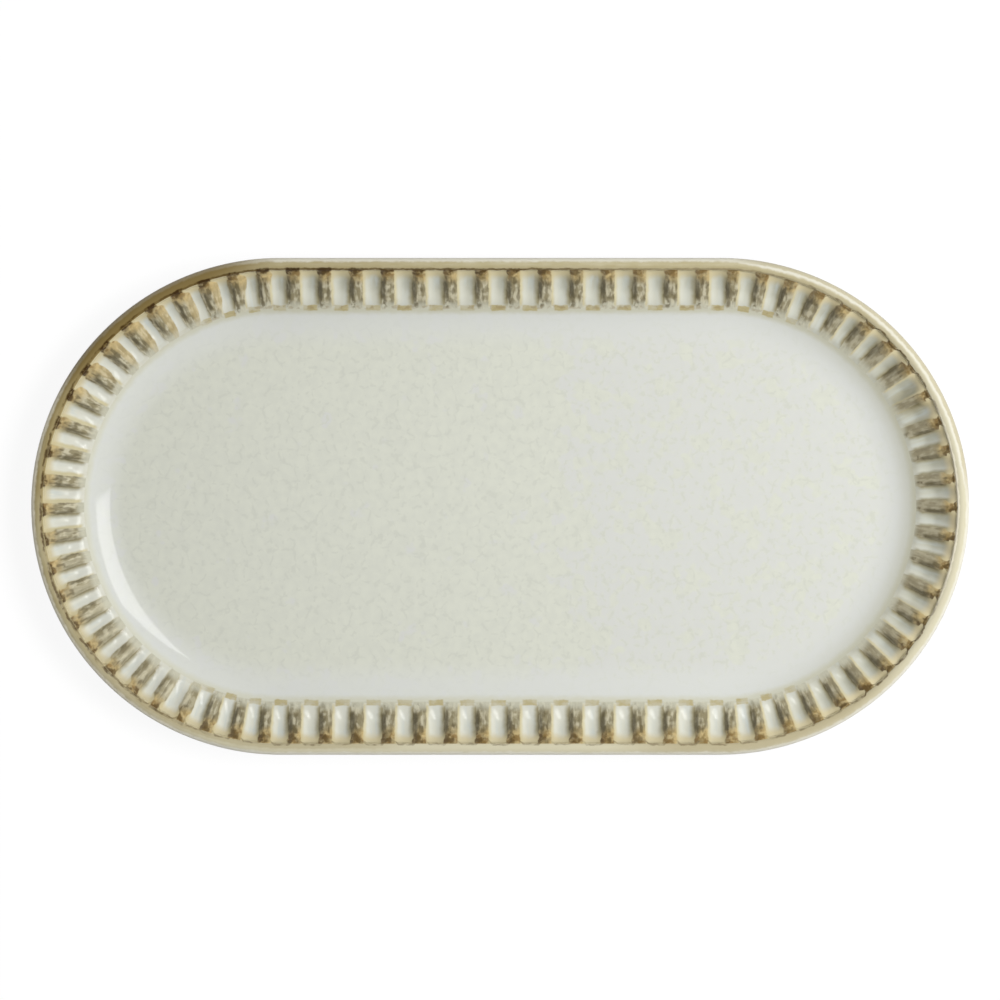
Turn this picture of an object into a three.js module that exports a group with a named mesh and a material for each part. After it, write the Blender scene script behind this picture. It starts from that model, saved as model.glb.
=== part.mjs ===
// Oblong serving tray of glazed stoneware: a pressed clay body with a fluted rim and a foot ring,
// and the glaze coats that are fired on to it. Millimetres, +Z up, standing on the foot at z = 0.
import * as THREE from "three";

// Overall sizes, over the glaze
const LENGTH = 305;
const WIDTH = 162;
const HEIGHT = 19;

// Foot ring and floor
const FOOT_INSET = 22;
const FOOT_WIDTH = 5;
const FOOT_HEIGHT = 2;
const FOOT_CHAMFER = 0.6;
const FLOOR_THICKNESS = 4.6;

// Well: the inset at which the slope of the rim would meet the floor, and the cove that rounds that corner
const KNEE_INSET = 23;
const COVE_RADIUS = 22;

// Lip: a full round, standing a little proud of the fluted band at the crease between them
const LIP_RADIUS = 2.3;
const LIP_SHOULDER = THREE.MathUtils.degToRad(49);
const LIP_PROUD = 0.45;

// Flutes: channels across the band, spaced along the tray's edge and round in section. They grow shallower
// towards the lip, end there at a small step, and have a long run-out towards the well
const FLUTE_PITCH = 10.2;
const FLUTE_WIDTH = 7.1;
const FLUTE_DEPTH = 1.8;
const FLUTE_RISE = 4.5;
const FLUTE_END_SHARE = 0.4;
const FLUTE_STEP = 0.8;
const FLUTE_RUN_OUT = 5;
const FLUTE_FLATNESS = 2;
const OUTER_BORDER = 0.1;
const INNER_BORDER = 1.7;

// Glaze: its usual thickness, its thickness where it pools in a flute, and the bare clay left beside the foot
const GLAZE = 0.4;
const GLAZE_POOL = 0.7;
const GLAZE_STOP = 1.2;

// Steps along the rounded parts of the section, and the columns across a flute from edge (-1) to edge (1)
const COVE_STEPS = 4;
const LIP_SHOULDER_STEPS = 2;
const LIP_CREST_STEPS = 3;
const LIP_UNDER_STEPS = 3;
const FLUTE_STATIONS = [-1, -0.55, 0, 0.55, 1];

// Plan: two straight sides joined by half circles, with whole numbers of flutes along each
const END_RADIUS = WIDTH / 2;
const STRAIGHT = LENGTH - WIDTH;
const SIDE_FLUTES = Math.max(1, Math.round(STRAIGHT / FLUTE_PITCH));
const END_FLUTES = Math.max(2, Math.round((Math.PI * END_RADIUS) / FLUTE_PITCH));
const HALF_WAY = SIDE_FLUTES + END_FLUTES;
const ALL_FLUTES = 2 * HALF_WAY;
const SIDE_PITCH = STRAIGHT / SIDE_FLUTES;

// Section: inset is the distance in from the tray's edge, z is the height
const FLOOR_Z = FOOT_HEIGHT + FLOOR_THICKNESS;
const LIP_CENTRE = { inset: LIP_RADIUS, z: HEIGHT - LIP_RADIUS };
const CREASE_INSET = LIP_RADIUS * (1 + Math.cos(LIP_SHOULDER));
const CREASE_Z = LIP_CENTRE.z + LIP_RADIUS * Math.sin(LIP_SHOULDER) - LIP_PROUD;
const RIM_SLOPE = Math.atan2(CREASE_Z - FLOOR_Z, KNEE_INSET - CREASE_INSET);
const COVE_CENTRE = {
  inset: KNEE_INSET + COVE_RADIUS * Math.tan(RIM_SLOPE / 2),
  z: FLOOR_Z + COVE_RADIUS,
};
const COVE_TOP_INSET = COVE_CENTRE.inset - (COVE_RADIUS + GLAZE) * Math.sin(RIM_SLOPE);
const WELL_EDGE_INSET = COVE_TOP_INSET - INNER_BORDER / 2;
const FLUTE_INNER_INSET = COVE_TOP_INSET - INNER_BORDER;
const FLUTE_OUTER_INSET = CREASE_INSET + OUTER_BORDER;
const CLAY_FLUTE_DEPTH = FLUTE_DEPTH + GLAZE_POOL - GLAZE;

// Place in plan, with u counting flutes anticlockwise from the middle of the -Y side
function planPoint(u, inset) {
  const reach = END_RADIUS - inset;
  const half = u < HALF_WAY ? 1 : -1;
  const along = u % HALF_WAY;
  const round = THREE.MathUtils.clamp((along - SIDE_FLUTES / 2) / END_FLUTES, 0, 1);
  const angle = (round - 0.5) * Math.PI;
  const straight = Math.min(along, SIDE_FLUTES / 2, HALF_WAY - along) * SIDE_PITCH;
  return { x: half * (straight + reach * Math.cos(angle)), y: half * reach * Math.sin(angle) };
}

// Columns for plain loops: one to each flute on the round ends, so that each side is one straight edge
function plainColumns() {
  const columns = [];
  const reach = END_FLUTES / 2;
  for (const middle of [HALF_WAY / 2, HALF_WAY * 1.5]) {
    columns.push(middle - reach, middle + reach);
    for (let step = 1 - Math.ceil(reach); step < reach; step += 1) {
      columns.push(middle + step);
    }
  }
  return columns.sort((a, b) => a - b);
}

// Columns for fluted loops, each with its share of the flute's depth
function flutedColumns() {
  const halfFlute = FLUTE_WIDTH / SIDE_PITCH / 2;
  const columns = [];
  for (let flute = 0; flute < ALL_FLUTES; flute += 1) {
    for (const station of FLUTE_STATIONS) {
      const u = (flute + station * halfFlute + ALL_FLUTES) % ALL_FLUTES;
      columns.push({ u, share: 1 - Math.abs(station) ** FLUTE_FLATNESS });
    }
  }
  return columns.sort((a, b) => a.u - b.u);
}

const PLAIN_COLUMNS = plainColumns();
const FLUTED_COLUMNS = flutedColumns();

// One closed loop of points round the tray at a place in the section
function loopAt({ inset, z }) {
  return PLAIN_COLUMNS.map((u) => {
    const { x, y } = planPoint(u, inset);
    return { u, point: new THREE.Vector3(x, y, z) };
  });
}

// One loop across the fluted band: the flutes sink square to its slope
function flutedLoopAt({ inset, z }, depth) {
  return FLUTED_COLUMNS.map(({ u, share }) => {
    const sunk = depth * share;
    const { x, y } = planPoint(u, inset - sunk * Math.sin(RIM_SLOPE));
    return { u, point: new THREE.Vector3(x, y, z - sunk * Math.cos(RIM_SLOPE)) };
  });
}

// Places in the section, where coat is how far a surface lies under the outside of the glaze
function onCove(angle, coat) {
  const radius = COVE_RADIUS + coat;
  return {
    inset: COVE_CENTRE.inset - radius * Math.sin(angle),
    z: COVE_CENTRE.z - radius * Math.cos(angle),
  };
}

function onBand(inset, coat) {
  const fall = (inset - CREASE_INSET) * Math.tan(RIM_SLOPE);
  return { inset, z: CREASE_Z - fall - coat / Math.cos(RIM_SLOPE) };
}

function onLip(angle, coat) {
  const radius = LIP_RADIUS - coat;
  return {
    inset: LIP_CENTRE.inset + radius * Math.cos(angle),
    z: LIP_CENTRE.z + radius * Math.sin(angle),
  };
}

// The outside wall leaves the lip at a tangent and runs straight to the top of the foot
function wallTangent() {
  const across = FOOT_INSET - LIP_CENTRE.inset;
  const down = FOOT_HEIGHT - LIP_CENTRE.z;
  const toFoot = Math.atan2(down, across);
  return toFoot - Math.acos((LIP_RADIUS - GLAZE) / Math.hypot(across, down)) + 2 * Math.PI;
}

const WALL_ANGLE = wallTangent();

// Where the glaze on that wall stops, beside the foot
function onWallEnd(coat) {
  const out = GLAZE - coat;
  const rise = GLAZE_STOP / Math.tan(WALL_ANGLE - Math.PI);
  return {
    inset: FOOT_INSET - GLAZE_STOP + out * Math.cos(WALL_ANGLE),
    z: FOOT_HEIGHT + rise + out * Math.sin(WALL_ANGLE),
  };
}

// Loops along an arc of the section, both ends included
function arcLoops(onArc, from, to, steps, coat) {
  const loops = [];
  for (let step = 0; step <= steps; step += 1) {
    loops.push(loopAt(onArc(THREE.MathUtils.lerp(from, to, step / steps), coat)));
  }
  return loops;
}

// Surfaces, each a list of loops on the path from the middle of the well, over the lip, to the foot
function wellSurface(coat) {
  return [
    ...arcLoops(onCove, 0, RIM_SLOPE, COVE_STEPS, coat),
    loopAt(onBand(WELL_EDGE_INSET, coat)),
  ];
}

function bandSurface(coat, depth) {
  return [
    loopAt(onBand(WELL_EDGE_INSET, coat)),
    flutedLoopAt(onBand(FLUTE_INNER_INSET, coat), 0),
    flutedLoopAt(onBand(FLUTE_INNER_INSET - FLUTE_RUN_OUT, coat), depth),
    flutedLoopAt(onBand(FLUTE_OUTER_INSET + FLUTE_RISE, coat), depth),
    flutedLoopAt(onBand(FLUTE_OUTER_INSET + FLUTE_STEP, coat), depth * FLUTE_END_SHARE),
    flutedLoopAt(onBand(FLUTE_OUTER_INSET, coat), 0),
    loopAt(onBand(CREASE_INSET, coat)),
  ];
}

function lipSurface(coat) {
  const crest = Math.PI / 2;
  const crease = Math.acos((CREASE_INSET - LIP_CENTRE.inset) / (LIP_RADIUS - coat));
  return [
    ...arcLoops(onLip, crease, crest, LIP_SHOULDER_STEPS, coat),
    ...arcLoops(onLip, crest, Math.PI, LIP_CREST_STEPS, coat).slice(1),
  ];
}

function wallSurface(coat) {
  return [
    ...arcLoops(onLip, Math.PI, WALL_ANGLE, LIP_UNDER_STEPS, coat),
    loopAt(onWallEnd(coat)),
  ];
}

function footSurface() {
  const inner = FOOT_INSET + FOOT_WIDTH;
  return [
    loopAt({ inset: FOOT_INSET, z: FOOT_HEIGHT }),
    loopAt({ inset: FOOT_INSET, z: FOOT_CHAMFER }),
    loopAt({ inset: FOOT_INSET + FOOT_CHAMFER, z: 0 }),
    loopAt({ inset: inner - FOOT_CHAMFER, z: 0 }),
    loopAt({ inset: inner, z: FOOT_CHAMFER }),
    loopAt({ inset: inner, z: FOOT_HEIGHT }),
  ];
}

// Triangles between two neighbouring loops, whose points are matched by their place round the tray
function bridge(first, second) {
  const at = (loop, index) => loop[index % loop.length];
  const turned = (loop, index) => at(loop, index).u + Math.floor(index / loop.length) * ALL_FLUTES;
  const middle = (loop, index) => turned(loop, index) + turned(loop, index + 1);
  const triangles = [];
  let i = 0;
  let j = 0;
  while (i < first.length || j < second.length) {
    const onFirst = j === second.length || (i < first.length && middle(first, i) <= middle(second, j));
    const next = onFirst ? at(first, i + 1) : at(second, j + 1);
    triangles.push([at(first, i).point, at(second, j).point, next.point]);
    i += onFirst ? 1 : 0;
    j += onFirst ? 0 : 1;
  }
  return triangles;
}

function skin(loops) {
  return loops.slice(1).flatMap((loop, index) => bridge(loops[index], loop));
}

// A flat face that fills a loop and looks up
function cap(loop) {
  const outline = loop.map(({ point }) => new THREE.Vector2(point.x, point.y));
  const faces = THREE.ShapeUtils.triangulateShape(outline, []);
  return faces.map((corners) => corners.map((corner) => loop[corner].point));
}

function turnedOver(triangles) {
  return triangles.map(([a, b, c]) => [a, c, b]);
}

// A coat that runs round the tray: its outside, the clay under it and the walls at its two edges
function ringCoat(outside, under) {
  return [
    ...skin(outside),
    ...turnedOver(skin(under)),
    ...bridge(outside.at(-1), under.at(-1)),
    ...bridge(under[0], outside[0]),
  ];
}

function clayBody() {
  const loops = [
    ...wellSurface(GLAZE),
    ...bandSurface(GLAZE, CLAY_FLUTE_DEPTH).slice(1),
    ...lipSurface(GLAZE),
    ...wallSurface(GLAZE).slice(1),
    ...footSurface(),
  ];
  return [...cap(loops[0]), ...skin(loops), ...turnedOver(cap(loops.at(-1)))];
}

function wellGlaze() {
  const outside = wellSurface(0);
  const under = wellSurface(GLAZE);
  return [
    ...cap(outside[0]),
    ...skin(outside),
    ...bridge(outside.at(-1), under.at(-1)),
    ...turnedOver(skin(under)),
    ...turnedOver(cap(under[0])),
  ];
}

function fluteGlaze() {
  return ringCoat(bandSurface(0, FLUTE_DEPTH), bandSurface(GLAZE, CLAY_FLUTE_DEPTH));
}

function lipGlaze() {
  return ringCoat(lipSurface(0), lipSurface(GLAZE));
}

function outerWallGlaze() {
  return ringCoat(wallSurface(0), wallSurface(GLAZE));
}

function baseGlaze() {
  const inset = FOOT_INSET + FOOT_WIDTH + GLAZE_STOP;
  const under = loopAt({ inset, z: FOOT_HEIGHT });
  const outside = loopAt({ inset, z: FOOT_HEIGHT - GLAZE });
  return [...cap(under), ...bridge(under, outside), ...turnedOver(cap(outside))];
}

const STONEWARE = { color: "#c9b08a", roughness: 0.8, metalness: 0 };
const IVORY_GLAZE = { color: "#d8dad0", roughness: 0.15, metalness: 0 };
const REACTIVE_GLAZE = { color: "#b3ad94", roughness: 0.25, metalness: 0 };
const HONEY_GLAZE = { color: "#bfb48c", roughness: 0.2, metalness: 0 };

function mesh(name, triangles, finish) {
  const geometry = new THREE.BufferGeometry().setFromPoints(triangles.flat());
  geometry.computeVertexNormals();
  const part = new THREE.Mesh(geometry, new THREE.MeshStandardMaterial(finish));
  part.name = name;
  return part;
}

const tray = new THREE.Group();
tray.name = "oblong_tray";
tray.add(
  mesh("clay_body", clayBody(), STONEWARE),
  mesh("well_glaze", wellGlaze(), IVORY_GLAZE),
  mesh("flute_glaze", fluteGlaze(), REACTIVE_GLAZE),
  mesh("lip_glaze", lipGlaze(), HONEY_GLAZE),
  mesh("outer_wall_glaze", outerWallGlaze(), IVORY_GLAZE),
  mesh("base_glaze", baseGlaze(), IVORY_GLAZE),
);

export default tray;
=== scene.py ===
"""Looks of an oblong serving tray of glazed stoneware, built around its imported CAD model."""
import math

import bpy
import numpy as np
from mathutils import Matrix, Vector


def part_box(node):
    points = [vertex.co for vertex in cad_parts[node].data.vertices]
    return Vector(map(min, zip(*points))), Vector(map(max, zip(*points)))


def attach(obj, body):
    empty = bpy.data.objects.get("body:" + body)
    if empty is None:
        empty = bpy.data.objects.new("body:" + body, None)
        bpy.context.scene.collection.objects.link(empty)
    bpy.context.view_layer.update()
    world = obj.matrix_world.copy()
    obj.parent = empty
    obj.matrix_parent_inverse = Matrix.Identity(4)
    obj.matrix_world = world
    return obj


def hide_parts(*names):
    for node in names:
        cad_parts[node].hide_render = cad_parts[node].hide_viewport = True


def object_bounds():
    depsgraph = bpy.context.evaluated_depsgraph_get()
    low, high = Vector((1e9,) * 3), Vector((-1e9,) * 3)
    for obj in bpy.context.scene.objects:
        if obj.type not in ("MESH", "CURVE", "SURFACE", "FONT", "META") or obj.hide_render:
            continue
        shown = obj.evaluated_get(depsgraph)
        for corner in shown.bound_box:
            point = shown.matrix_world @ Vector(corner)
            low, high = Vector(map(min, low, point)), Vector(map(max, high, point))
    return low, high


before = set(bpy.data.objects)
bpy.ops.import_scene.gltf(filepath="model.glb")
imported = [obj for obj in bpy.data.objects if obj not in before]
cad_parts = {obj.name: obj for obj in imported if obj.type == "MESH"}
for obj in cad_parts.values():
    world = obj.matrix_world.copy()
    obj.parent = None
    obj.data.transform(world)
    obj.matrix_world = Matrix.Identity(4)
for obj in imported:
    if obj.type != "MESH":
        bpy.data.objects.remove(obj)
CAD_BOX = [list(corner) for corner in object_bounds()]

# Sizes are in millimetres up to the making of a mesh, which is in metres
MM = 0.001


def node_box(node):
    """Lowest and highest corner of a CAD node, in millimetres."""
    low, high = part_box(node)
    return np.array(low) / MM, np.array(high) / MM


LENGTH, WIDTH, HEIGHT = (np.array(CAD_BOX[1]) - np.array(CAD_BOX[0])) / MM
END_RADIUS = WIDTH / 2
STRAIGHT = LENGTH - WIDTH

# Section, with inset the distance in from the tray's edge and z the height
GLAZE = 0.4
GLAZE_POOL = 0.7
GLAZE_STOP = 1.2
FOOT_HEIGHT = node_box("base_glaze")[1][2]
FOOT_WIDTH = 5
FOOT_ROUND = 0.6
FOOT_INSET = END_RADIUS - node_box("base_glaze")[1][1] - FOOT_WIDTH - GLAZE_STOP
FLOOR_Z = node_box("well_glaze")[0][2] + GLAZE
KNEE_INSET = 23
COVE_RADIUS = 22
LIP_RADIUS = HEIGHT - node_box("lip_glaze")[0][2]
LIP_SHOULDER = math.radians(49)
LIP_PROUD = 0.45
LIP_INSET = LIP_RADIUS
LIP_Z = HEIGHT - LIP_RADIUS
CREASE_INSET = LIP_RADIUS * (1 + math.cos(LIP_SHOULDER))
CREASE_Z = LIP_Z + LIP_RADIUS * math.sin(LIP_SHOULDER) - LIP_PROUD
RIM_SLOPE = math.atan2(CREASE_Z - FLOOR_Z, KNEE_INSET - CREASE_INSET)
COVE_INSET = KNEE_INSET + COVE_RADIUS * math.tan(RIM_SLOPE / 2)
COVE_Z = FLOOR_Z + COVE_RADIUS
COVE_TOP_INSET = COVE_INSET - (COVE_RADIUS + GLAZE) * math.sin(RIM_SLOPE)
INNER_BORDER = 1.7
OUTER_BORDER = 0.1
WELL_EDGE_INSET = COVE_TOP_INSET - INNER_BORDER / 2
FLUTE_INNER_INSET = COVE_TOP_INSET - INNER_BORDER
FLUTE_OUTER_INSET = CREASE_INSET + OUTER_BORDER

# Flutes along the edge, and the shape of one
FLUTE_PITCH = 10.2
SIDE_FLUTES = round(STRAIGHT / FLUTE_PITCH)
END_FLUTES = round(math.pi * END_RADIUS / FLUTE_PITCH)
HALF_WAY = SIDE_FLUTES + END_FLUTES
ALL_FLUTES = 2 * HALF_WAY
PITCH = STRAIGHT / SIDE_FLUTES
FLUTE_HALF_WIDTH = 3.55
FLUTE_DEPTH = 1.8
FLUTE_RISE = 4.5
FLUTE_END_SHARE = 0.4
FLUTE_STEP = 0.8
FLUTE_RUN_OUT = 5.0
FLUTE_FLATNESS = 2
ARRIS = 0.16
CLAY_FLUTE_DEPTH = FLUTE_DEPTH + GLAZE_POOL - GLAZE

# Each flute was pressed by hand, so no two are quite alike
HAND = np.random.default_rng(41)
FLUTE_SHIFT = HAND.uniform(-0.16, 0.16, ALL_FLUTES)
FLUTE_WIDEN = HAND.uniform(-0.14, 0.14, ALL_FLUTES)
FLUTE_DEEPEN = HAND.uniform(0.9, 1.08, ALL_FLUTES)

# Columns round the tray in flutes: close together on the flanks of a flute, every second one of them on
# the body, which the coats cover, and even on plain surfaces
HALF_STATIONS = np.array([0.09, 0.17, 0.23, 0.28, 0.31, 0.335, 0.36, 0.385, 0.42, 0.46])
FLUTE_STATIONS = np.concatenate([[-0.5], -HALF_STATIONS[::-1], [0], HALF_STATIONS])
FLUTED_COLUMNS = (np.arange(ALL_FLUTES)[:, None] + FLUTE_STATIONS).ravel()
BODY_COLUMNS = (np.arange(ALL_FLUTES)[:, None] + FLUTE_STATIONS[::2]).ravel()
PLAIN_COLUMNS = np.arange(0, ALL_FLUTES, 0.25)

# Rows of the plainer stretches of the section, and the turn of a small round edge
FLOOR_ROWS = 5
COVE_ROWS = 17
LIP_ROWS = 15
UNDER_LIP_ROWS = 9
WALL_ROWS = 14
BASE_ROWS = 10
QUARTER_TURN = np.linspace(0, math.pi / 2, 5)


def plan(u, inset):
    """Place in plan, with u counting flutes anticlockwise from the middle of the -Y side."""
    u = u % ALL_FLUTES
    reach = END_RADIUS - inset
    half = np.where(u < HALF_WAY, 1, -1)
    along = u % HALF_WAY
    angle = (np.clip((along - SIDE_FLUTES / 2) / END_FLUTES, 0, 1) - 0.5) * math.pi
    straight = np.minimum(np.minimum(along, SIDE_FLUTES / 2), HALF_WAY - along) * PITCH
    return half * (straight + reach * np.cos(angle)), half * reach * np.sin(angle)


# Places in the section, where coat is how far a surface lies under the outside of the glaze
def on_cove(angle, coat):
    radius = COVE_RADIUS + coat
    return COVE_INSET - radius * np.sin(angle), COVE_Z - radius * np.cos(angle)


def on_band(inset, coat):
    fall = (inset - CREASE_INSET) * math.tan(RIM_SLOPE)
    return inset, CREASE_Z - fall - coat / math.cos(RIM_SLOPE)


def on_lip(angle, coat):
    radius = LIP_RADIUS - coat
    return LIP_INSET + radius * np.cos(angle), LIP_Z + radius * np.sin(angle)


def wall_angle():
    """Where on the lip the straight outside wall leaves it at a tangent, on its way to the foot."""
    across = FOOT_INSET - LIP_INSET
    down = FOOT_HEIGHT - LIP_Z
    turn = math.acos((LIP_RADIUS - GLAZE) / math.hypot(across, down))
    return math.atan2(down, across) - turn + 2 * math.pi


WALL_ANGLE = wall_angle()
WALL_LENGTH = math.sqrt(
    (FOOT_INSET - LIP_INSET) ** 2 + (FOOT_HEIGHT - LIP_Z) ** 2 - (LIP_RADIUS - GLAZE) ** 2
)


def on_wall(run, coat):
    """A place on the outside wall, run millimetres down from where it leaves the lip."""
    inset, z = on_lip(WALL_ANGLE, coat)
    return inset - run * math.sin(WALL_ANGLE), z + run * math.cos(WALL_ANGLE)


# Paths in the section from the middle of the well, over the lip, to the foot
def path_of(*stretches):
    return np.concatenate([np.array(np.broadcast_arrays(*stretch)).T for stretch in stretches])


def well_path(coat):
    floor = np.linspace(END_RADIUS, COVE_INSET, FLOOR_ROWS)
    return path_of(
        (floor, FLOOR_Z - coat),
        on_cove(np.linspace(0, RIM_SLOPE, COVE_ROWS)[1:], coat),
        on_band(np.linspace(COVE_TOP_INSET, WELL_EDGE_INSET, 4)[1:], coat),
    )


def band_insets():
    """Rows across the fluted band, close together at the ends of the flutes."""
    run_out = FLUTE_INNER_INSET - FLUTE_RUN_OUT
    rise = FLUTE_OUTER_INSET + FLUTE_RISE
    step = FLUTE_OUTER_INSET + FLUTE_STEP
    return np.concatenate([
        np.linspace(WELL_EDGE_INSET, FLUTE_INNER_INSET, 3),
        np.linspace(FLUTE_INNER_INSET, run_out, 9)[1:],
        np.linspace(run_out, rise, 4)[1:],
        np.linspace(rise, step, 6)[1:],
        np.linspace(step, FLUTE_OUTER_INSET, 8)[1:],
        np.linspace(FLUTE_OUTER_INSET, CREASE_INSET, 3)[1:],
    ])


def lip_path(coat):
    crease = math.acos((CREASE_INSET - LIP_INSET) / (LIP_RADIUS - coat))
    return path_of(on_lip(np.linspace(crease, math.pi, LIP_ROWS), coat))


def wall_path(coat):
    stop = WALL_LENGTH - GLAZE_STOP - (GLAZE - coat)
    return path_of(
        on_lip(np.linspace(math.pi, WALL_ANGLE, UNDER_LIP_ROWS), coat),
        on_wall(np.linspace(0, stop, WALL_ROWS)[1:], coat),
    )


def wall_edge():
    """The round edge of the outside coat, where the glaze was wiped away beside the foot."""
    turn = QUARTER_TURN[1:-1]
    run = WALL_LENGTH - GLAZE_STOP - GLAZE * (1 - np.sin(turn))
    return path_of(on_wall(run, GLAZE * (1 - np.cos(turn))))


def foot_path():
    turn = QUARTER_TURN
    outer = FOOT_INSET + FOOT_ROUND
    inner = FOOT_INSET + FOOT_WIDTH - FOOT_ROUND
    return path_of(
        (np.array([FOOT_INSET]), FOOT_HEIGHT),
        (outer - FOOT_ROUND * np.cos(turn), FOOT_ROUND * (1 - np.sin(turn))),
        (inner + FOOT_ROUND * np.sin(turn), FOOT_ROUND * (1 - np.cos(turn))),
        (np.array([FOOT_INSET + FOOT_WIDTH]), FOOT_HEIGHT),
    )


# Surfaces, each a grid of points with its place on the rim: flutes round the tray and inset
class Surface:
    def __init__(self, columns, insets, points):
        self.columns = columns
        self.insets = insets
        self.points = points

    def then(self, other):
        return Surface(
            self.columns,
            np.concatenate([self.insets, other.insets]),
            np.concatenate([self.points, other.points]),
        )

    def turned_over(self):
        return Surface(self.columns, self.insets[::-1], self.points[::-1])


def turned_surface(path, columns):
    """A path carried round the tray."""
    x, y = plan(columns[None, :], path[:, :1])
    z = np.broadcast_to(path[:, 1:], x.shape)
    return Surface(columns, path[:, 0], np.stack([x, y, z], axis=-1))


def flute_share(columns, insets):
    """How far each place of the band is sunk into its flute, from 0 on the ridges to about 1."""
    flute = np.floor(columns + 0.5).astype(int) % ALL_FLUTES
    across = (columns - np.floor(columns + 0.5)) * PITCH - FLUTE_SHIFT[flute]
    wide = np.abs(across) / (FLUTE_HALF_WIDTH + FLUTE_WIDEN[flute])
    hollow = rounded(1 - wide ** FLUTE_FLATNESS) * FLUTE_DEEPEN[flute]
    from_lip = insets - FLUTE_OUTER_INSET
    rise = FLUTE_END_SHARE + (1 - FLUTE_END_SHARE) * eased(from_lip / FLUTE_RISE)
    run_out = eased((FLUTE_INNER_INSET - insets) / FLUTE_RUN_OUT)
    return hollow[None, :] * (eased(from_lip / FLUTE_STEP) * rise * run_out)[:, None]


def eased(share):
    """A share held between 0 and 1, with a soft start and end."""
    share = np.clip(share, 0, 1)
    return share * share * (3 - 2 * share)


def rounded(rise):
    """The rise where it is above 0 and about 0 where it is below, with a soft corner between."""
    return (rise + np.sqrt(rise * rise + ARRIS * ARRIS)) / 2


def band_surface(columns, coat, depth):
    """The fluted band: the flutes sink square to its slope."""
    insets, z = on_band(band_insets(), coat)
    sunk = depth * flute_share(columns, insets)
    x, y = plan(columns[None, :], insets[:, None] - sunk * math.sin(RIM_SLOPE))
    return Surface(columns, insets, np.stack([x, y, z[:, None] - sunk * math.cos(RIM_SLOPE)], axis=-1))


WELD = 1e-4
SHARP_EDGE = math.radians(42)


def make_piece(name, surface, node, material, ring=False):
    """A closed shell from a grid of points, in place of a CAD node. A ring closes on its first row."""
    rows, columns = surface.points.shape[:2]
    _, first, weld = np.unique(
        np.round(surface.points.reshape(-1, 3) / WELD).astype(np.int64),
        axis=0, return_index=True, return_inverse=True,
    )
    weld = weld.reshape(rows, columns)
    stations = np.append(surface.columns, surface.columns[0] + ALL_FLUTES) * PITCH
    faces = []
    places = []
    for row in range(rows if ring else rows - 1):
        below = (row + 1) % rows
        for column in range(columns):
            beside = (column + 1) % columns
            corners = [
                (weld[row, column], column, row),
                (weld[below, column], column, below),
                (weld[below, beside], column + 1, below),
                (weld[row, beside], column + 1, row),
            ]
            kept = [corner for turn, corner in enumerate(corners) if corner[0] != corners[turn - 1][0]]
            if len(kept) > 2:
                faces.append([int(corner[0]) for corner in kept])
                places.extend((stations[i], surface.insets[j], 0) for _, i, j in kept)
    mesh = bpy.data.meshes.new(name)
    mesh.from_pydata(surface.points.reshape(-1, 3)[first] * MM, [], faces)
    rim = mesh.attributes.new("rim", "FLOAT_VECTOR", "CORNER")
    rim.data.foreach_set("vector", np.array(places, np.float32).ravel())
    mesh.shade_smooth()
    mesh.set_sharp_from_angle(angle=SHARP_EDGE)
    mesh.materials.append(material)
    piece = bpy.data.objects.new(name, mesh)
    bpy.context.scene.collection.objects.link(piece)
    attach(piece, "root")
    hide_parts(node)
    return piece


# Materials
def paint(red, green, blue):
    """A colour written in the usual 0 to 255 steps, as Blender's linear light."""
    steps = np.array([red, green, blue]) / 255
    return (*np.where(steps <= 0.04045, steps / 12.92, ((steps + 0.055) / 1.055) ** 2.4), 1.0)


class Value:
    """A number or colour that varies over a surface. Arithmetic on it adds nodes to its graph."""

    def __init__(self, graph, socket):
        self.graph = graph
        self.socket = socket

    def __add__(self, other):
        return self.graph.math("ADD", self, other)

    def __sub__(self, other):
        return self.graph.math("SUBTRACT", self, other)

    def __rsub__(self, other):
        return self.graph.math("SUBTRACT", other, self)

    def __mul__(self, other):
        return self.graph.math("MULTIPLY", self, other)

    __radd__ = __add__
    __rmul__ = __mul__

    def __abs__(self):
        return self.graph.math("ABSOLUTE", self)

    def larger(self, other):
        return self.graph.math("MAXIMUM", self, other)

    def held(self, low, high):
        """Held between low and high."""
        return self.graph.math("MINIMUM", self.larger(low), high)

    def ramp(self, start, end):
        """Rises smoothly from 0 at start to 1 at end, or the other way round where end is less."""
        if end < start:
            return 1 - self.ramp(end, start)
        node = self.graph.add("ShaderNodeMapRange", interpolation_type="SMOOTHSTEP")
        for socket, value in zip(node.inputs, (self, start, end, 0, 1)):
            self.graph.feed(socket, value)
        return Value(self.graph, node.outputs[0])

    def between(self, start, end, soft):
        """1 from start to end, falling to 0 within soft outside them."""
        return self.ramp(start - soft, start) * self.ramp(end + soft, end)


# Sockets of a Mix node that mixes colours
MIX_SHARE = 0
MIX_FIRST = 6
MIX_SECOND = 7
MIX_RESULT = 2


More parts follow.
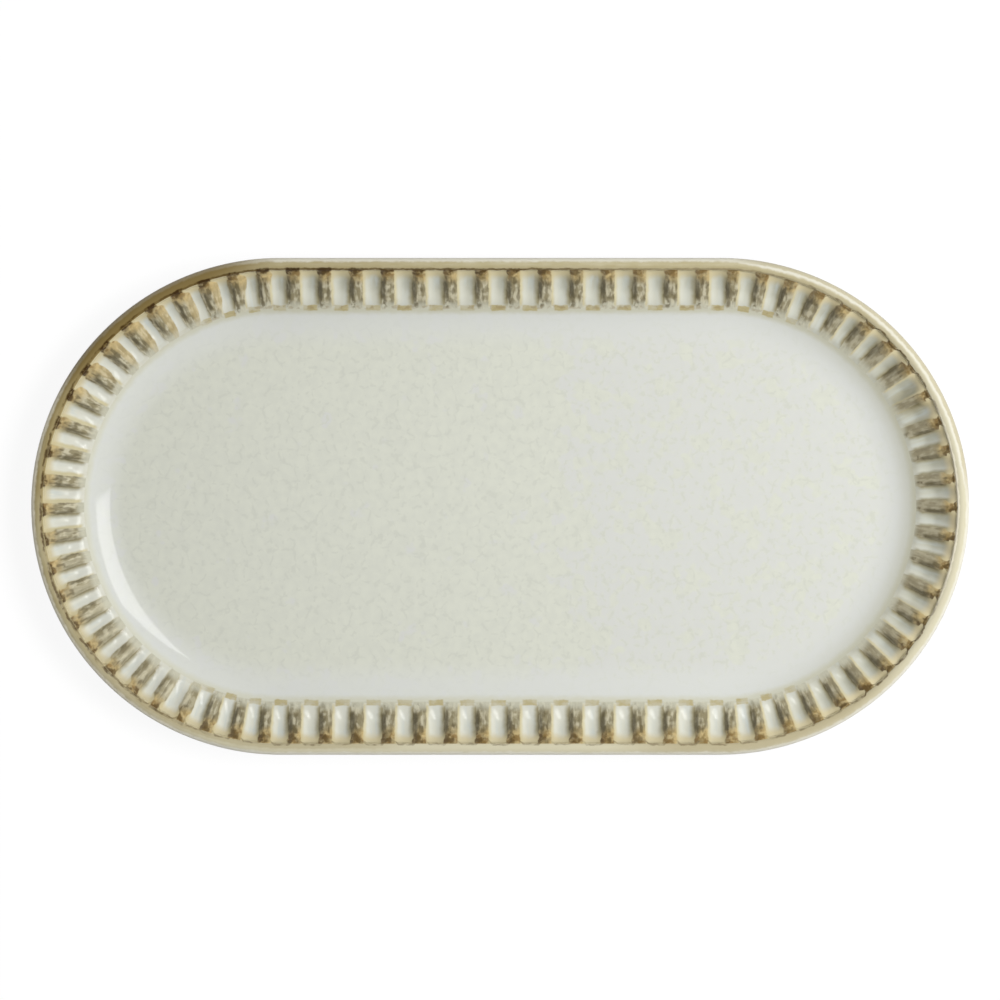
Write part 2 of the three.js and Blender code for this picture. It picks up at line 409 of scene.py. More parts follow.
class Graph:
    """A material's nodes, with a short method for each kind of node that the finishes use."""

    def __init__(self, name):
        self.material = bpy.data.materials.new(name)
        self.material.use_nodes = True
        self.tree = self.material.node_tree
        self.shader = self.tree.nodes["Principled BSDF"]
        place = self.add("ShaderNodeTexCoord").outputs["Object"]
        self.place = self.scaled(place, (1 / MM, 1 / MM, 1 / MM))
        self.rim = self.add("ShaderNodeAttribute", attribute_name="rim").outputs["Vector"]
        self.x, self.y, _ = self.parts(self.place)
        self.station, self.inset, _ = self.parts(self.rim)

    def add(self, kind, **settings):
        node = self.tree.nodes.new(kind)
        for name, value in settings.items():
            setattr(node, name, value)
        return node

    def feed(self, socket, value):
        if isinstance(value, Value):
            self.tree.links.new(value.socket, socket)
        else:
            socket.default_value = value

    def parts(self, vector):
        node = self.add("ShaderNodeSeparateXYZ")
        self.tree.links.new(vector, node.inputs[0])
        return [Value(self, socket) for socket in node.outputs]

    def math(self, operation, *terms):
        node = self.add("ShaderNodeMath", operation=operation)
        for socket, term in zip(node.inputs, terms):
            self.feed(socket, term)
        return Value(self, node.outputs[0])

    def scaled(self, vector, factors):
        node = self.add("ShaderNodeVectorMath", operation="MULTIPLY")
        self.tree.links.new(vector, node.inputs[0])
        node.inputs[1].default_value = factors
        return node.outputs[0]

    def clouds(self, size, seed, detail=2.0, roughness=0.5, vector=None):
        """Node of cloudy noise about a half, with blotches of that size in millimetres."""
        node = self.add("ShaderNodeTexNoise", noise_dimensions="4D")
        self.tree.links.new(vector or self.place, node.inputs["Vector"])
        node.inputs["W"].default_value = seed
        node.inputs["Scale"].default_value = 1 / size
        node.inputs["Detail"].default_value = detail
        node.inputs["Roughness"].default_value = roughness
        return node

    def noise(self, size, seed, **settings):
        return Value(self, self.clouds(size, seed, **settings).outputs[0])

    def streaks(self, along, inwards, seed, detail=2.0):
        """Noise drawn out along the rim or across it, with its two sizes in millimetres."""
        vector = self.scaled(self.rim, (1 / along, 1 / inwards, 1))
        return self.noise(1, seed, detail=detail, vector=vector)

    def crazing(self, size, bend, seed):
        """Distance in millimetres from the nearest line of a crazed network with cells of that size."""
        shift = self.scaled(self.clouds(size, seed).outputs["Color"], (bend, bend, bend))
        bent = self.add("ShaderNodeVectorMath", operation="ADD")
        self.tree.links.new(self.place, bent.inputs[0])
        self.tree.links.new(shift, bent.inputs[1])
        cells = self.add("ShaderNodeTexVoronoi", feature="DISTANCE_TO_EDGE")
        self.tree.links.new(bent.outputs[0], cells.inputs["Vector"])
        cells.inputs["Scale"].default_value = 1 / size
        return Value(self, cells.outputs["Distance"]) * size

    def mix(self, share, first, second):
        node = self.add("ShaderNodeMix", data_type="RGBA")
        self.feed(node.inputs[MIX_SHARE], share)
        self.feed(node.inputs[MIX_FIRST], first)
        self.feed(node.inputs[MIX_SECOND], second)
        return Value(self, node.outputs[MIX_RESULT])

    def tone(self, seed):
        """A number from 0 to 1 that is the same all over one flute."""
        flute = self.math("MODULO", self.math("ROUND", self.station * (1 / PITCH)), ALL_FLUTES)
        node = self.add("ShaderNodeTexWhiteNoise", noise_dimensions="1D")
        self.feed(node.inputs["W"], flute + seed)
        return Value(self, node.outputs[0])

    def finish(self, colour, roughness, height, depth, gloss=0.5):
        """Sets the surface: colour, roughness and gloss, and a relief that is depth millimetres deep."""
        self.feed(self.shader.inputs["Base Color"], colour)
        self.feed(self.shader.inputs["Roughness"], roughness)
        self.shader.inputs["Specular IOR Level"].default_value = gloss
        bump = self.add("ShaderNodeBump")
        bump.inputs["Distance"].default_value = depth * MM
        self.feed(bump.inputs["Height"], height)
        self.tree.links.new(bump.outputs[0], self.shader.inputs["Normal"])
        return self.material


IVORY_DEEP = paint(212, 214, 202)
IVORY_PALE = paint(216, 218, 205)
IVORY_COOL = paint(213, 214, 211)
CRAZE_DARK = paint(197, 199, 188)
CRAZE_GREEN = paint(203, 206, 194)
COVE_WHITE = paint(215, 217, 212)
BORDER_PALE = paint(212, 212, 196)
BORDER_GREEN = paint(200, 199, 180)
FLUTE_WHITE = paint(213, 213, 200)
FLUTE_THIN_SHADED = paint(175, 175, 158)
FLUTE_BLUE = paint(190, 197, 194)
FLUTE_PAINTED_LIGHT = paint(222, 222, 210)
FLUTE_END = paint(196, 183, 142)
FLUTE_END_PAINTED_LIGHT = paint(222, 208, 164)
FLANK_CREAM = paint(202, 193, 157)
FLANK_OLIVE = paint(152, 144, 113)
FLANK_DARK = paint(98, 90, 64)
RIDGE_PALE = paint(196, 189, 162)
RIDGE_MIDDLE = paint(145, 136, 106)
RIDGE_DARK = paint(98, 88, 61)
RIDGE_EVEN = paint(157, 149, 124)
OCHRE = paint(152, 132, 86)
OCHRE_BRIGHT = paint(197, 176, 126)
OCHRE_PALE = paint(178, 164, 116)
BROWN = paint(86, 67, 33)
BROWN_DARK = paint(60, 41, 16)
RUST = paint(134, 108, 62)
LIP_PALE = paint(221, 218, 203)
LIP_PAINTED_LIGHT = paint(248, 241, 218)
LIP_CREAM = paint(205, 199, 172)
HONEY = paint(182, 172, 136)
HONEY_DEEP = paint(155, 139, 95)
HONEY_BURNT = paint(124, 105, 60)
CLAY = paint(203, 180, 143)
CLAY_DARK = paint(168, 142, 104)
CLAY_PALE = paint(220, 202, 170)


def ivory(g, seed, thickness=0.0):
    """Ivory glaze, faintly crazed, with cool patches that are more common where it is thick."""
    craze = g.crazing(size=4.6, bend=3.6, seed=seed)
    broken = g.noise(2.2, seed=seed + 1).ramp(0.46, 0.6)
    colour = g.mix(g.noise(2.4, seed=seed + 2).ramp(0.3, 0.7), IVORY_DEEP, IVORY_PALE)
    cool = (g.noise(6.5, seed=seed + 3) + thickness).ramp(0.64, 0.72)
    cool = cool * (1 - 0.6 * craze.ramp(1.5, 0.3) * broken)
    colour = g.mix(cool * 0.7, colour, IVORY_COOL)
    line = craze.ramp(0.55, 0.1) * broken
    return g.mix(line * 0.38, colour, g.mix(cool, CRAZE_DARK, CRAZE_GREEN))


# The glaze was sprayed on from one corner, so it is thin on the slopes that face away from there. The
# lamps light from that side too, so the darker colour on those slopes is partly thin glaze and partly
# painted shade. The offset moves the two places on the rim where the thin slope changes sides.
SPRAY_AND_SHADE_TURN = math.radians(46)
SPRAY_AND_SHADE_OFFSET = 0.27
BAND_MIDDLE_INSET = 10
BAND_RADIUS = END_RADIUS - BAND_MIDDLE_INSET

# The white pool in a flute: how far it reaches to each side and inwards
POOL_HALF_WIDTH = 3.7
POOL_LEE_WIDTH = 2.4
POOL_END_INSET = 17.0


class RimPlace:
    """Where a point lies on the rim, wavering as the run of the glaze does."""

    def __init__(self, g):
        along_side = g.x.held(-STRAIGHT / 2, STRAIGHT / 2)
        out_x = (g.x - along_side) * (1 / BAND_RADIUS)
        out_y = g.y * (1 / BAND_RADIUS)

        def facing(x, y):
            """How far the rim lies out in that direction, about 1 where it faces that way."""
            return out_x * x + out_y * y

        # Parts of the rim, each a share from 0 to 1, and scorch, which grows towards the burnt corner
        self.near_end = g.x.ramp(80, 128)
        self.far_end = (g.x + (g.noise(24, seed=54) - 0.5) * 60).ramp(-70, -145)
        self.end_face = self.near_end * abs(out_y).ramp(0.6, 0.2)
        self.straight = abs(g.y).ramp(56, 63)
        self.low_side = out_y.ramp(-0.2, -0.9)
        self.low_left = facing(-0.77, -0.64).ramp(0.75, 0.95)
        self.low_right = g.x.between(62, 112, soft=30) * g.y.ramp(-20, -60)
        self.up_side = g.x.ramp(5, 50) * out_y.ramp(0.4, 0.8)
        self.up_right = facing(0.71, 0.71).ramp(0.8, 0.95)
        self.scorch = facing(-0.55, 0.835) - along_side * 0.002
        self.up_left = self.scorch.ramp(1.0, 1.1)
        self.clean = self.near_end.larger(self.low_side)
        # Share of painted shade, 1 where the band faces away from the lamps and 0 where it faces them
        self.shaded = facing(0.94, 0.34).ramp(-1.0, 0.6)
        self.toward_upper_left = (g.y - g.x * 0.5 + (g.noise(30, seed=53) - 0.5) * 60).ramp(-60, 50)

        # Place across a flute in millimetres, where lee is above 0 on the thin slope. That slope faces
        # away from the lamps, and the colour painted on it is partly painted shade
        turned = facing(math.sin(SPRAY_AND_SHADE_TURN), -math.cos(SPRAY_AND_SHADE_TURN)) - SPRAY_AND_SHADE_OFFSET
        side = (turned * 8).held(-1, 1)
        drift = (g.noise(1.9, seed=12) - 0.5) * 0.9
        signed = g.math("WRAP", g.station, PITCH / 2, -PITCH / 2) + drift
        shift = self.near_end * 0.6 - self.end_face * 1.3 - self.up_left * 0.5 + self.up_right * 0.5
        self.across = abs(signed)
        self.lee = signed * side + shift
        edge = (PITCH / 2 - self.across).ramp(0, 1.2)
        self.ridge_turn = 0.5 + (self.lee.ramp(-1, 1) - 0.5) * edge

        # Insets, moved where the run of the glaze and its stains lie further in
        self.inset = g.inset + (g.noise(2.2, seed=11) - 0.5) * 1.1
        self.outer = self.inset + self.far_end * 0.5
        self.stain = self.inset + self.far_end * 0.6 - 0.4 * (1 - out_y) * (1 - self.far_end)


def inner_ends(g, colour, rim):
    """Ochre glaze at the inner end of each flute, strongest on the long sides, with dark corners."""
    patchy = g.noise(4.0, seed=21).ramp(0.4, 0.6)
    straight = 0.1 + 0.9 * rim.straight
    patch = rim.inset.between(15.7, 17.1, soft=0.4) * abs(rim.lee + 0.5).ramp(2.7, 2.0)
    colour = g.mix(patch * straight * (0.45 + 0.4 * patchy), colour, OCHRE_PALE)
    dash = rim.inset.between(15.9, 16.5, soft=0.5) * g.noise(1.8, seed=24).ramp(0.46, 0.58)
    colour = g.mix(dash * rim.toward_upper_left * straight * 0.35, colour, RUST)
    beside = rim.lee - 3.4
    inwards = (rim.inset - 15.0) * 0.6
    corner = g.math("SQRT", beside * beside + inwards * inwards)
    spot = corner.ramp(1.2, 0.4) * g.noise(1.8, seed=22).ramp(0.44, 0.58)
    spot = spot * straight.larger(rim.end_face) * (1 - 0.5 * rim.low_side)
    return g.mix(spot * 0.75, colour, RIDGE_DARK)


def crease_line(g, colour, rim):
    """Dark broken line along the crease at the lip, darker towards the upper left, where part of it is
    painted shadow of the lip. On the near end and the lower side it runs round the flutes instead, the
    crease of the near end is painted lighter as painted light, and the line swells to blots where the lip
    is burnt."""
    broken = g.noise(1.9, seed=31).ramp(0.36, 0.6)
    line = rim.outer.between(3.45, 3.8, soft=0.35)
    # The line is darker towards the upper left, where part of it is painted shadow of the lip
    strength = (0.25 + 0.25 * broken + 0.4 * rim.toward_upper_left) * (1 - rim.clean) * (1 - 0.5 * rim.up_side)
    patchy = 0.1 + 0.75 * g.noise(2.4, seed=32).ramp(0.42, 0.58)
    strength = strength * (1 - rim.far_end) + patchy * rim.far_end
    colour = g.mix(line * strength, colour, BROWN)
    scallop = rim.inset - rim.across.ramp(2.2, 4.0)
    outline = scallop.between(3.5, 3.8, soft=0.3) * (0.25 + 0.6 * broken)
    outline = outline * (1 - 0.85 * rim.end_face * rim.across.ramp(3.6, 2.6))
    on_low_side = rim.low_side * rim.across.ramp(4.4, 3.4) * 0.6
    colour = g.mix(outline * rim.near_end.larger(on_low_side), colour, BROWN)
    # Painted light in the shaded crease at the near end
    colour = g.mix(rim.end_face * rim.inset.between(3.45, 3.9, soft=0.3) * 0.8, colour, LIP_PAINTED_LIGHT)
    on_ridge = rim.lee.ramp(1.2, 2.4).larger(rim.across.ramp(3.2, 4.0))
    scorched = rim.scorch.ramp(0.93, 1.05).larger(rim.far_end * 0.7)
    spotty = 0.4 + 0.6 * g.noise(1.7, seed=33).ramp(0.4, 0.55)
    blot = rim.inset.between(3.3, 4.1, soft=0.45) * on_ridge * spotty
    return g.mix(blot * scorched * 0.95, colour, BROWN_DARK)


def border(g, colour, rim):
    """Greenish glaze along the inner edge of the band, palest where the glaze was sprayed thickly, which
    is also where the band faces the lamps; the greener edge elsewhere is partly painted shade.
    """
    # Painted shade: greener towards the cove at the near end, which faces away from the lamps
    colour = g.mix(rim.near_end * rim.inset.ramp(24, 18) * 0.5, colour, BORDER_GREEN)
    # Pale where the band faces the lamps and greener, as painted shade, where it faces away
    edge = g.mix(rim.shaded, BORDER_PALE, BORDER_GREEN)
    return g.mix(rim.inset.ramp(19.2, 17.2), colour, edge)


def well_finish():
    """Ivory glaze, bluish on the cove where it is thick and greenish at the border of the band."""
    g = Graph("ivory_glaze")
    rim = RimPlace(g)
    colour = ivory(g, 1, g.x.ramp(-5, 45) * 0.255 + rim.inset.ramp(31, 22) * 0.16)
    colour = g.mix(rim.inset.ramp(31, 21) * 0.75, colour, COVE_WHITE)
    colour = border(g, colour, rim)
    colour = inner_ends(g, colour, rim)
    waves = g.noise(16, seed=41, detail=1)
    roughness = 0.05 + 0.05 * g.noise(6, seed=42)
    return g.finish(colour, roughness, height=waves, depth=0.05)


def ridge_colour(g, rim):
    """Thin glaze on the ridges: streaky grey-brown, ochre to brown at the outer end, pale at the other."""
    streak = g.streaks(1.3, 5, seed=13)
    blotch = g.noise(2.4, seed=14)
    mottle = (0.5 * streak + 0.5 * blotch).ramp(0.43, 0.57)
    colour = g.mix(mottle, RIDGE_MIDDLE, RIDGE_PALE)
    dark = g.streaks(1.5, 3.4, seed=16, detail=1).ramp(0.46, 0.62)
    colour = g.mix(dark * 0.6, colour, RIDGE_DARK)
    colour = g.mix(rim.near_end * 0.6, colour, RIDGE_EVEN)
    colour = g.mix(rim.low_left * rim.ridge_turn.ramp(0.2, 0.7) * 0.6, colour, RIDGE_PALE)
    colour = g.mix(rim.low_side * rim.ridge_turn.ramp(0.55, 0.2) * 0.5, colour, RIDGE_MIDDLE)
    inner = (rim.inset - rim.end_face * 1.8).ramp(13.2, 16.0)
    colour = g.mix(inner * 0.8, colour, BORDER_GREEN)
    ochre = g.mix(g.noise(1.9, seed=17).ramp(0.42, 0.6), OCHRE, OCHRE_BRIGHT)
    # The side of a ridge towards the spray also faces the lamps: it is painted lighter, partly as painted
    # light, and the other side darker, partly as painted shade
    windward_and_lit = rim.ridge_turn.ramp(0.5, 0.05)
    colour = g.mix(rim.up_left * windward_and_lit * 0.45, colour, OCHRE_BRIGHT)
    ochre = g.mix((rim.far_end * 0.5).larger(windward_and_lit * 0.6), ochre, OCHRE_BRIGHT)
    colour = g.mix(rim.stain.ramp(9.2, 6.4) * (0.45 + 0.55 * blotch.ramp(0.3, 0.6)), colour, ochre)
    dulled_and_shaded = rim.stain.between(6.6, 8.4, soft=0.8) * (1 - windward_and_lit)
    colour = g.mix(dulled_and_shaded * (0.2 + 0.5 * dark), colour, RIDGE_DARK)
    colour = g.mix(rim.stain.ramp(6.8, 5.4) * g.noise(2.2, seed=25).ramp(0.46, 0.6) * 0.8, colour, RUST)
    stained = 0.3 + 0.7 * g.noise(2.2, seed=18).ramp(0.4, 0.54)
    reach = rim.stain + (0.5 - rim.ridge_turn) * (1.4 + rim.clean * 1.2)
    stained = stained * (1 - rim.clean * (0.2 + 0.8 * rim.inset.ramp(4.3, 3.7)))
    stained = stained * (1 - 0.75 * rim.low_right * g.x.ramp(112, 92)) * (1 - 0.6 * rim.up_side)
    stained = stained * (1 - 0.6 * rim.low_side * rim.ridge_turn.ramp(0.5, 0.2))
    return g.mix(reach.ramp(5.5, 4.5) * stained, colour, BROWN)


def flute_colour(g, rim):
    """Thick glaze in the flutes: white with bluish streaks, olive flanks where it was sprayed thinly.
    The pools and flanks that face away from the lamps are darkened with painted shade, and the pools
    are lightened with painted light towards their inner ends and at the outer ends on the near end.
    """
    pool = rim.across.ramp(2.2, 0.8) * g.streaks(2.2, 9, seed=19).ramp(0.42, 0.62)
    # Pools darker as painted shade where they face away from the lamps, most on the thin slope
    thinness_and_shade = rim.shaded * (0.45 + 0.55 * rim.lee.ramp(-2.5, 0.5))
    colour = g.mix(thinness_and_shade, FLUTE_WHITE, FLUTE_THIN_SHADED)
    colour = g.mix(pool * (0.2 + 0.6 * g.tone(7)), colour, FLUTE_BLUE)
    # Painted light: the pools grow lighter towards their inner ends, most at the far end
    inner = (rim.inset - rim.near_end * 2.5).ramp(8, 14.5)
    colour = g.mix(inner * (0.36 + 0.3 * rim.far_end), colour, FLUTE_PAINTED_LIGHT)
    cream = (rim.across + rim.far_end * 0.6).ramp(2.4, 3.5) * rim.inset.ramp(16.8, 15.0)
    colour = g.mix(cream, colour, FLANK_CREAM)
    # Olive flanks where the glaze is thin, partly painted shade: on the slope facing away from the lamps,
    # and on both flanks at the near end, which faces away from them
    thin_and_shaded_flank = rim.lee.ramp(0.2, 2.3).larger(rim.across.ramp(1.3, 2.6) * rim.end_face * 0.8)
    colour = g.mix(thin_and_shaded_flank * rim.inset.ramp(16.4, 14.6), colour, FLANK_OLIVE)
    # Outer ends of the flutes, painted lighter at the near end as painted light in its shaded crease
    end = g.mix(rim.near_end, FLUTE_END, FLUTE_END_PAINTED_LIGHT)
    return g.mix(rim.outer.ramp(8.2, 5.2) * 0.85, colour, end)


def lee_line(g, colour, rim):
    """Dark streak down the flank of each flute that the spray hardly reached; this flank faces away from
    the lamps, so the streak is partly painted shade.
    """
    streak = g.streaks(1.5, 4, seed=20).ramp(0.35, 0.6)
    line = rim.lee.between(2.5, 3.1, soft=0.9) * rim.inset.between(9.0, 12.8, soft=1.7)
    line = line * (1 - 0.35 * rim.low_left) * (1 - 0.5 * rim.far_end * rim.inset.ramp(10, 13))
    return g.mix(line * (0.5 + 0.4 * streak), colour, FLANK_DARK)


def band_finish():
    """Reactive glaze: it breaks to brown and ochre on the ridges and pools white in the flutes."""
    g = Graph("reactive_glaze")
    rim = RimPlace(g)
    widened = (rim.end_face + rim.low_left * 1.2) * rim.inset.ramp(6, 8)
    widened = widened + rim.up_left * rim.inset.ramp(4, 6) * 2.1
    ridge = rim.across - POOL_HALF_WIDTH + widened
    # The pool stops short on the slope facing away from the spray and the lamps; the ridge colour there is
    # partly painted shade
    flank = rim.lee - POOL_LEE_WIDTH + rim.up_left * 0.4
    flank = flank + rim.outer.ramp(6, 5) * (0.4 - 1.9 * rim.near_end)
    tip = rim.inset - POOL_END_INSET + rim.straight * 0.6
    bare = g.math("SMOOTH_MAX", ridge.larger(flank), tip, 0.5).ramp(-0.2, 0.25)
    colour = g.mix(bare, flute_colour(g, rim), ridge_colour(g, rim))
    colour = lee_line(g, colour, rim)
    colour = g.mix((rim.inset + rim.straight * 0.4).ramp(16.5, 17.7), colour, BORDER_GREEN)
    colour = inner_ends(g, colour, rim)
    colour = crease_line(g, colour, rim)
    grain = g.noise(0.7, seed=23, detail=1)
    return g.finish(colour, 0.14 + bare * 0.24, height=grain * bare, depth=0.1)


def lip_finish():
    """Honey glaze, pale on the outside of the lip, thin along one side and burnt brown at one corner. The
    pale edge is painted lighter at the far end as painted light, and at the upper right it sits on the
    crown as a painted highlight, with painted shade on the edge outside it.
    """
    g = Graph("honey_glaze")
    rim = RimPlace(g)
    streak = g.streaks(7, 1.2, seed=51)
    colour = g.mix(rim.toward_upper_left * (0.6 + 0.4 * streak.ramp(0.3, 0.7)), LIP_CREAM, HONEY)
    deep = rim.far_end * (0.6 + 0.4 * streak.ramp(0.3, 0.7)) * (1 - 0.6 * rim.low_left)
    colour = g.mix(deep, colour, HONEY_DEEP)
    colour = g.mix(rim.low_right * (0.35 + 0.15 * rim.inset.ramp(1.4, 2.6)), colour, HONEY_DEEP)
    colour = g.mix(rim.inset.ramp(1.9, 2.9) * rim.toward_upper_left * 0.3, colour, HONEY_DEEP)
    worn_side = g.x.between(-112, -50, soft=25) * rim.low_side * rim.inset.ramp(1.8, 2.8)
    colour = g.mix(worn_side * 0.4, colour, HONEY_DEEP)
    burnt = rim.scorch.ramp(1.06, 1.22)
    colour = g.mix(rim.scorch.ramp(0.9, 1.06) * 0.4, colour, HONEY_DEEP)
    colour = g.mix(burnt * 0.9, colour, HONEY_BURNT)
    # Pale outer edge: brighter at the far end as painted light, moved onto the crown at the upper right as
    # a painted highlight
    pale = (rim.inset - rim.up_right * 0.9).ramp(1.6, 0.7) * (1 - 0.85 * burnt) * 0.9
    colour = g.mix(pale, colour, g.mix(rim.far_end, LIP_PALE, LIP_PAINTED_LIGHT))
    # Painted shade on the outer edge at the upper right
    colour = g.mix(rim.up_right * rim.inset.ramp(1.5, 0.9) * 0.7, colour, HONEY)
    colour = crease_line(g, colour, rim)
    return g.finish(colour, 0.24 + 0.12 * streak, height=streak, depth=0.05, gloss=0.2)


def outside_finish():
    """The same ivory glaze on the outside wall, breaking to honey under the lip."""
    g = Graph("outside_glaze")
    cloud = g.noise(20, seed=61, detail=3)
    colour = ivory(g, 65)
    run = g.inset + (g.streaks(3, 14, seed=62) - 0.5) * 8
    colour = g.mix(run.ramp(4.5, 1.5) * 0.85, colour, HONEY)
    colour = g.mix(run.ramp(1.6, 0.4) * 0.6, colour, HONEY_DEEP)
    stop = FOOT_INSET - GLAZE_STOP
    wiped = g.inset.ramp(stop - 1.4, stop - 0.4) * g.noise(3, seed=63).ramp(0.35, 0.6)
    colour = g.mix(wiped * 0.7, colour, OCHRE_PALE)
    waves = g.noise(14, seed=64, detail=1)
    return g.finish(colour, 0.14 + 0.1 * cloud, height=waves, depth=0.12)


def base_finish():
    """Ivory glaze on the recessed base, thinner towards its edge."""
    g = Graph("base_glaze")
    cloud = g.noise(18, seed=71, detail=3)
    colour = ivory(g, 75)
    stop = FOOT_INSET + FOOT_WIDTH + GLAZE_STOP
    edge = g.inset + (g.noise(3, seed=72) - 0.5) * 2
    colour = g.mix(edge.ramp(stop + 2, stop + 0.2) * 0.7, colour, OCHRE_PALE)
    waves = g.noise(14, seed=73, detail=1)
    return g.finish(colour, 0.16 + 0.12 * cloud, height=waves, depth=0.1)


def clay_finish():
    """Bare fired stoneware with its grain and iron specks."""
    g = Graph("bare_stoneware")
    grain = g.noise(0.8, seed=81, detail=3, roughness=0.65)
    colour = g.mix(grain.ramp(0.35, 0.65), CLAY, CLAY_PALE)
    colour = g.mix(g.noise(7, seed=82).ramp(0.42, 0.66) * 0.5, colour, CLAY_DARK)
    colour = g.mix(g.noise(0.9, seed=83, detail=1).ramp(0.68, 0.74) * 0.7, colour, BROWN)
    return g.finish(colour, 0.72 + 0.2 * grain, height=grain, depth=0.15)


# Pieces of the object
def make_well():
    outside = turned_surface(well_path(0), PLAIN_COLUMNS)
    under = turned_surface(well_path(GLAZE), PLAIN_COLUMNS)
    coat = outside.then(under.turned_over())
    make_piece("glazed_well", coat, "well_glaze", well_finish())


def make_flutes():
    outside = band_surface(FLUTED_COLUMNS, 0, FLUTE_DEPTH)
    under = band_surface(FLUTED_COLUMNS, GLAZE, CLAY_FLUTE_DEPTH)
    coat = outside.then(under.turned_over())
    make_piece("glazed_flutes", coat, "flute_glaze", band_finish(), ring=True)


def make_lip():
    outside = turned_surface(lip_path(0), PLAIN_COLUMNS)
    under = turned_surface(lip_path(GLAZE), PLAIN_COLUMNS)
    coat = outside.then(under.turned_over())
    make_piece("glazed_lip", coat, "lip_glaze", lip_finish(), ring=True)


def make_outside():
    outside = turned_surface(np.concatenate([wall_path(0), wall_edge()]), PLAIN_COLUMNS)
    under = turned_surface(wall_path(GLAZE), PLAIN_COLUMNS)
    coat = outside.then(under.turned_over())
    make_piece("glazed_outside", coat, "outer_wall_glaze", outside_finish(), ring=True)


def make_base():
    inset = FOOT_INSET + FOOT_WIDTH + GLAZE_STOP
    turn = QUARTER_TURN[1:]
    face = np.linspace(inset + GLAZE, END_RADIUS, BASE_ROWS)[1:]
    under = np.linspace(END_RADIUS, inset, BASE_ROWS)
    path = path_of(
        (under, FOOT_HEIGHT),
        (inset + GLAZE * (1 - np.cos(turn)), FOOT_HEIGHT - GLAZE * np.sin(turn)),
        (face, FOOT_HEIGHT - GLAZE),
    )
    surface = turned_surface(path, PLAIN_COLUMNS)
    make_piece("glazed_base", surface, "base_glaze", base_finish())


def make_body():
    base = path_of((np.linspace(FOOT_INSET + FOOT_WIDTH, END_RADIUS, BASE_ROWS)[1:], FOOT_HEIGHT))
    body = turned_surface(well_path(GLAZE)[:-1], BODY_COLUMNS)
    body = body.then(band_surface(BODY_COLUMNS, GLAZE, CLAY_FLUTE_DEPTH))
    outside = [lip_path(GLAZE), wall_path(GLAZE)[1:], foot_path(), base]
    body = body.then(turned_surface(np.concatenate(outside), BODY_COLUMNS))
    make_piece("stoneware_body", body, "clay_body", clay_finish())


# Camera and lamps, where lamps and the depth of view are in metres
FRAME_WIDTH = 325.1
AIM = (-0.04, 2.34, 17)
TILT = math.radians(4)
LENS = 200
SENSOR = 36
VIEW_DEPTH = 20
KEY_PLACE = (0.93, 0.13, 1.5)
KEY_SIZE = 0.8
KEY_POWER = 29.7
SOFTBOX_PLACE = (0.47, 0.17, 1.0)
SOFTBOX_SIZE = 0.55
SOFTBOX_POWER = 3.4


def make_camera():
    camera = bpy.data.cameras.new("camera")
    camera.lens = LENS
    camera.sensor_width = SENSOR
    camera.clip_end = VIEW_DEPTH
    distance = FRAME_WIDTH * LENS / SENSOR
    place = np.array(AIM) + distance * np.array([0, math.sin(TILT), math.cos(TILT)])
    holder = bpy.data.objects.new("camera", camera)
    holder.location = place * MM
    holder.rotation_euler = (-TILT, 0, 0)
    bpy.context.scene.collection.objects.link(holder)
    bpy.context.scene.camera = holder


def make_lamp(name, place, size, power, mirrored):
    """A square lamp that faces straight down. Its shape shows in the glaze only where it is mirrored."""
    light = bpy.data.lights.new(name, "AREA")
    light.shape = "SQUARE"
    light.size = size
    light.energy = power
    lamp = bpy.data.objects.new(name, light)
    lamp.location = place
    lamp.visible_glossy = mirrored
    bpy.context.scene.collection.objects.link(lamp)


# Light from all round: its strength below and above two heights, each the upward part of a direction
LOW_SKY = 0.1
HIGH_SKY = 0.4
LOW_SKY_LIGHT = 1.0
HIGH_SKY_LIGHT = 0.09


def make_world():
    """Soft light from all round, strongest near the horizon as in a white room."""
    world = bpy.data.worlds.new("studio")
    bpy.context.scene.world = world
    world.use_nodes = True
    tree = world.node_tree
    place = tree.nodes.new("ShaderNodeTexCoord")
    split = tree.nodes.new("ShaderNodeSeparateXYZ")
    ramp = tree.nodes.new("ShaderNodeMapRange")
    ramp.interpolation_type = "SMOOTHSTEP"
    for socket, value in zip(list(ramp.inputs)[1:5], (LOW_SKY, HIGH_SKY, LOW_SKY_LIGHT, HIGH_SKY_LIGHT)):
        socket.default_value = value
    tree.links.new(place.outputs["Generated"], split.inputs[0])
    tree.links.new(split.outputs["Z"], ramp.inputs[0])
    tree.links.new(ramp.outputs[0], tree.nodes["Background"].inputs["Strength"])
    tree.nodes["Background"].inputs["Color"].default_value = (1, 1, 1, 1)


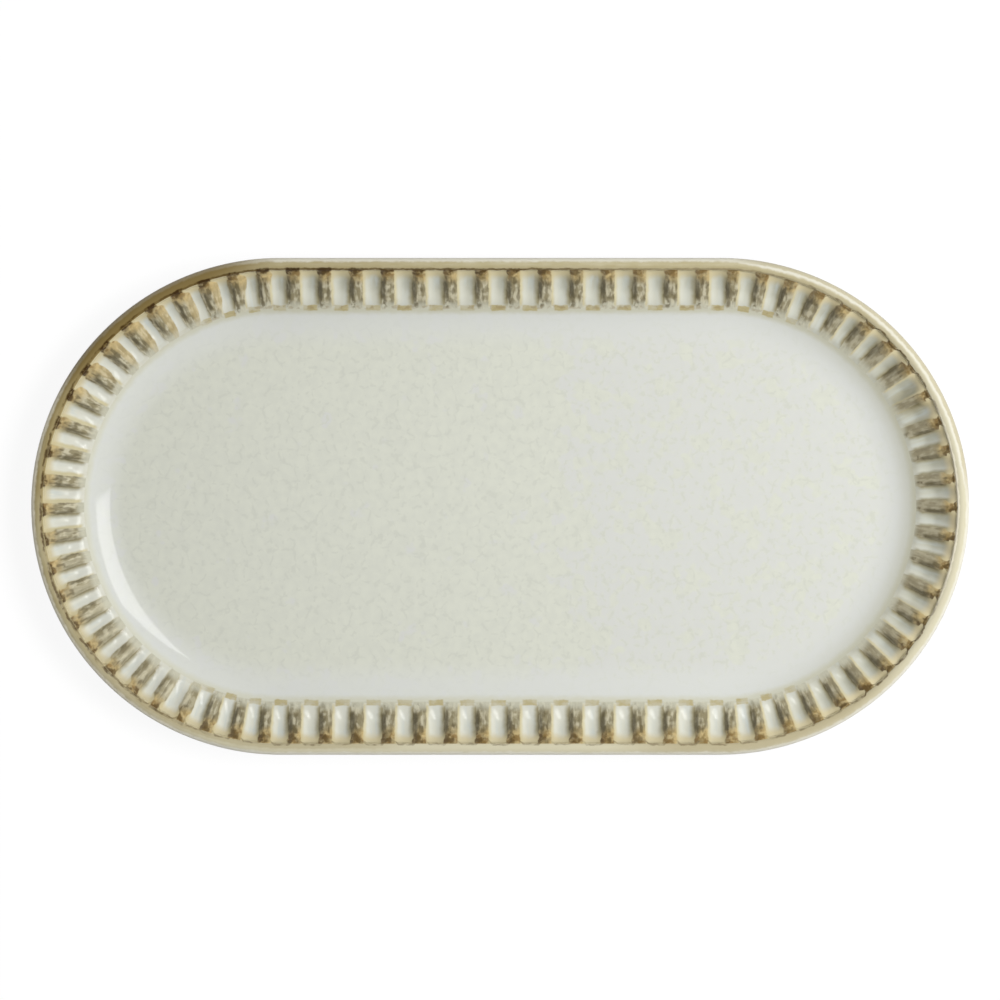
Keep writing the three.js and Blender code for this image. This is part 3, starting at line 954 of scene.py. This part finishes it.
# Floor, in metres. It lights the tray as its paint does, and where it is seen it glows and takes the shadow
FLOOR_SIZE = 30
FLOOR_PAINT = 0.4
FLOOR_GLOW = 0.92
FLOOR_SHADE = 0.1


def make_floor():
    """White floor with a faint shadow where it is seen or mirrored, and clear from below."""
    mesh = bpy.data.meshes.new("floor")
    half = FLOOR_SIZE / 2
    corners = [(-half, -half, 0), (half, -half, 0), (half, half, 0), (-half, half, 0)]
    mesh.from_pydata(corners, [], [(0, 1, 2, 3)])
    floor = bpy.data.objects.new("floor", mesh)
    bpy.context.scene.collection.objects.link(floor)
    material = bpy.data.materials.new("white_floor")
    material.use_nodes = True
    tree = material.node_tree
    tree.nodes.clear()

    def add(kind, *links, **settings):
        node = tree.nodes.new(kind)
        for name, value in settings.items():
            setattr(node, name, value)
        for socket, link in enumerate(links):
            tree.links.new(link, node.inputs[socket])
        return node

    def matt(level):
        node = add("ShaderNodeBsdfDiffuse")
        node.inputs["Color"].default_value = (level, level, level, 1)
        return node.outputs[0]

    ray = add("ShaderNodeLightPath").outputs
    mirrored = add("ShaderNodeMath", ray["Is Glossy Ray"], ray["Is Transmission Ray"]).outputs[0]
    seen = add("ShaderNodeMath", ray["Is Camera Ray"], mirrored, use_clamp=True).outputs[0]
    glow = add("ShaderNodeEmission")
    glow.inputs["Strength"].default_value = FLOOR_GLOW
    shown = add("ShaderNodeAddShader", glow.outputs[0], matt(FLOOR_SHADE)).outputs[0]
    top = add("ShaderNodeMixShader", seen, matt(FLOOR_PAINT), shown).outputs[0]
    underneath = add("ShaderNodeNewGeometry").outputs["Backfacing"]
    clear = add("ShaderNodeBsdfTransparent").outputs[0]
    surface = add("ShaderNodeMixShader", underneath, top, clear).outputs[0]
    add("ShaderNodeOutputMaterial", surface)
    mesh.materials.append(material)


make_camera()
make_well()
make_flutes()
make_lip()
make_outside()
make_base()
make_body()
make_floor()
make_world()
make_lamp("key", KEY_PLACE, KEY_SIZE, KEY_POWER, False)
make_lamp("softbox", SOFTBOX_PLACE, SOFTBOX_SIZE, SOFTBOX_POWER, True)
bpy.context.scene.view_settings.view_transform = "Standard"
